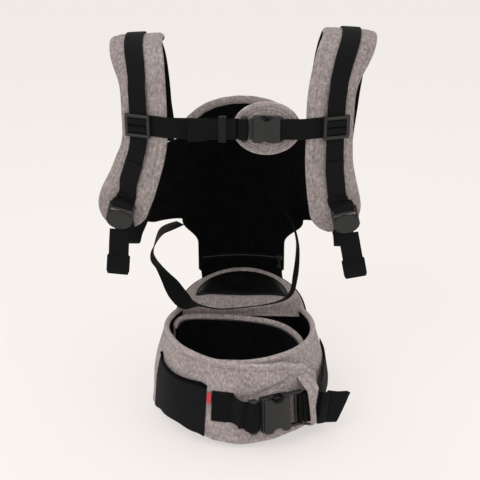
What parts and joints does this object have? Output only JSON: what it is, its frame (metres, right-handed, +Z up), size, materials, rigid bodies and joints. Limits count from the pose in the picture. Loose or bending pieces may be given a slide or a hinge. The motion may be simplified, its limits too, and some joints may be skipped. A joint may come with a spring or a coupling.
{
  "type": "soft baby carrier",
  "caption": "Soft baby carrier with a waist belt, hip seat, back panel, padded shoulder straps, back strap and side-release buckles.",
  "frame": {"origin": "middle of the waist opening, on the belt's bottom plane", "axes": "+Z up along the wearer's body, +Y towards the hip seat and the child, -Y towards the wearer's back, +X to the right seen from behind the wearer"},
  "size_m": [0.4045, 0.3773, 0.6304],
  "materials": {
    "foam": "open-cell foam",
    "grey_fabric": "grey melange weave",
    "pocket_knit": "ribbed black knit",
    "tag": "red woven tag",
    "grip": "black grip leatherette",
    "plastic": "moulded acetal",
    "webbing": "black ribbed webbing",
    "black_lining": "black lining mesh"
  },
  "bodies": {
    "seat_and_belt": {"belt_foam_left": "foam", "belt_cover_left": "grey_fabric", "belt_lining_left": "black_lining", "belt_foam_right": "foam", "belt_cover_right": "grey_fabric", "belt_lining_right": "black_lining", "belt_loop_patch": "black_lining", "belt_hook_patch": "black_lining", "side_pocket": "pocket_knit", "side_tag": "tag", "belly_pad": "grey_fabric", "belly_lining": "black_lining", "seat_top_cover": "grey_fabric", "seat_core": "foam", "seat_wall_cover": "grey_fabric", "seat_back_cover": "black_lining", "seat_base_panel": "black_lining", "seat_grip_panel": "grip", "webbing_loop": "grey_fabric", "waist_webbing_short": "webbing", "waist_webbing_long": "webbing", "waist_buckle_female": "plastic", "waist_tail": "webbing", "safety_strap": "webbing"},
    "panel_and_straps": {"panel_lining": "black_lining", "panel_cover": "grey_fabric", "wing_left": "black_lining", "wing_right": "black_lining", "panel_zip": "black_lining", "shoulder_cover_left": "grey_fabric", "shoulder_foam_left": "foam", "shoulder_lining_left": "black_lining", "shoulder_webbing_left": "webbing", "lower_webbing_left": "webbing", "shoulder_cover_right": "grey_fabric", "shoulder_foam_right": "foam", "shoulder_lining_right": "black_lining", "shoulder_webbing_right": "webbing", "lower_webbing_right": "webbing"},
    "headrest": {"headrest_pad": "black_lining", "headrest_roll": "grey_fabric"},
    "zip_pull": {"zip_slider": "plastic"},
    "ladder_left": {"ladder_lock_left": "plastic"},
    "ladder_right": {"ladder_lock_right": "plastic"},
    "tail_left": {"shoulder_tail_left": "webbing"},
    "tail_right": {"shoulder_tail_right": "webbing"},
    "chest_strap": {"chest_slider_left": "plastic", "chest_slider_right": "plastic", "chest_webbing_left": "webbing", "chest_webbing_right": "webbing", "chest_buckle_male": "plastic", "chest_tail": "webbing", "chest_pad": "grey_fabric"},
    "chest_female": {"chest_buckle_female": "plastic"},
    "chest_prong_a": {"chest_prong_upper": "plastic"},
    "chest_prong_b": {"chest_prong_lower": "plastic"},
    "keeper": {"chest_keeper": "webbing"},
    "waist_male": {"waist_buckle_male": "plastic"},
    "waist_prong_a": {"waist_prong_upper": "plastic"},
    "waist_prong_b": {"waist_prong_lower": "plastic"}
  },
  "joints": [
    {"name": "panel_fold", "type": "hinge", "parent": "seat_and_belt", "child": "panel_and_straps", "pos_m": [0, 0.2225, 0.152], "axis": [-1, 0, 0], "range_deg": [0, 95], "deforming": ["safety_strap"]},
    {"name": "headrest_fold", "type": "hinge", "parent": "panel_and_straps", "child": "headrest", "pos_m": [0, 0.1895, 0.4302], "axis": [-1, 0, 0], "range_deg": [0, 110]},
    {"name": "zip_slide", "type": "hinge", "parent": "panel_and_straps", "child": "zip_pull", "pos_m": [0, 0.019, 0.178], "axis": [0, 0, 1], "range_deg": [0, 38]},
    {"name": "ladder_left_tilt", "type": "hinge", "parent": "panel_and_straps", "child": "ladder_left", "pos_m": [-0.16915, -0.0765, 0.38147], "axis": [-0.9703, 0, 0.2419], "range_deg": [0, 35]},
    {"name": "ladder_right_tilt", "type": "hinge", "parent": "panel_and_straps", "child": "ladder_right", "pos_m": [0.15495, -0.0765, 0.37954], "axis": [-0.9744, 0, -0.225], "range_deg": [0, 35]},
    {"name": "tail_left_swing", "type": "hinge", "parent": "ladder_left", "child": "tail_left", "pos_m": [-0.17546, -0.0735, 0.3418], "axis": [-1, 0, 0], "range_deg": [0, 60]},
    {"name": "tail_right_swing", "type": "hinge", "parent": "ladder_right", "child": "tail_right", "pos_m": [0.16368, -0.0735, 0.3398], "axis": [-1, 0, 0], "range_deg": [0, 60]},
    {"name": "chest_height", "type": "slide", "parent": "panel_and_straps", "child": "chest_strap", "axis": [0, 0, 1], "range_m": [-0.022, 0.012]},
    {"name": "chest_release", "type": "slide", "parent": "chest_strap", "child": "chest_female", "axis": [1, 0, 0], "range_m": [0, 0.024], "deforming": ["chest_webbing_right"]},
    {"name": "chest_prong_upper_press", "type": "hinge", "parent": "chest_strap", "child": "chest_prong_a", "pos_m": [0.02344, -0.0985, 0.51726], "axis": [0, 1, 0], "range_deg": [0, 7], "stiffness_Nm_per_rad": 0.05},
    {"name": "chest_prong_lower_press", "type": "hinge", "parent": "chest_strap", "child": "chest_prong_b", "pos_m": [0.02344, -0.0985, 0.49274], "axis": [0, -1, 0], "range_deg": [0, 7], "stiffness_Nm_per_rad": 0.05},
    {"name": "chest_keeper_slide", "type": "slide", "parent": "chest_strap", "child": "keeper", "axis": [1, 0, 0], "range_m": [-0.008, 0.013]},
    {"name": "waist_release", "type": "slide", "parent": "seat_and_belt", "child": "waist_male", "axis": [-0.8901, -0.4544, 0.0342], "range_m": [0, 0.03], "deforming": ["waist_webbing_short"]},
    {"name": "waist_prong_upper_press", "type": "hinge", "parent": "waist_male", "child": "waist_prong_a", "pos_m": [0.04429, -0.12944, 0.08126], "axis": [-0.4544, 0.8795, -0.1414], "range_deg": [0, 7], "stiffness_Nm_per_rad": 0.1},
    {"name": "waist_prong_lower_press", "type": "hinge", "parent": "waist_male", "child": "waist_prong_b", "pos_m": [0.04561, -0.13492, 0.04288], "axis": [0.4544, -0.8795, 0.1414], "range_deg": [0, 7], "stiffness_Nm_per_rad": 0.1}
  ]
}
